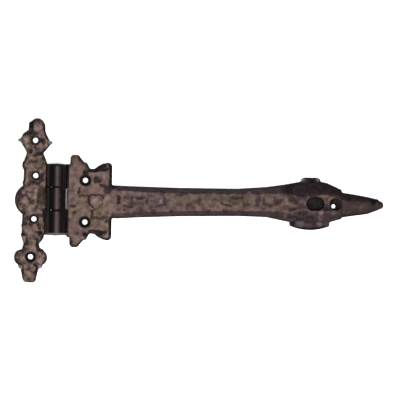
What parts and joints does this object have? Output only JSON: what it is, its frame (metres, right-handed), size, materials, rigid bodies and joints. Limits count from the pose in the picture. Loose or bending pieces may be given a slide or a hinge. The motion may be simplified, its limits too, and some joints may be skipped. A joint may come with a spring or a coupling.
{
  "type": "t hinge",
  "caption": "Ornamental cast T hinge for a door or gate: a fleur-de-lis jamb leaf and a long strap leaf with a spearhead, turning on one steel pin.",
  "frame": {"origin": "on the back plane that bears on the door and the jamb, straight under the pin's axis and halfway along the barrel, at the free edge of the flat foot of the middle knuckle", "axes": "+X along the strap towards the tip of the spearhead, +Y along the pin, +Z out of the ornamental face"},
  "size_m": [0.3057, 0.1363, 0.0164],
  "materials": {
    "antique_iron_jamb": "satin brown-black antique finish on rough cast iron",
    "antique_iron_strap": "satin brown-black antique finish on rough cast iron",
    "darkened_steel_pin": "darkened steel, peened flush"
  },
  "bodies": {
    "jamb": {"jamb_leaf": "antique_iron_jamb"},
    "strap": {"strap_leaf": "antique_iron_strap", "hinge_pin": "darkened_steel_pin"}
  },
  "joints": [
    {"name": "strap_fold", "type": "hinge", "parent": "jamb", "child": "strap", "pos_m": [0, 0, 0.0082], "axis": [0, -1, 0], "range_deg": [0, 180]}
  ]
}
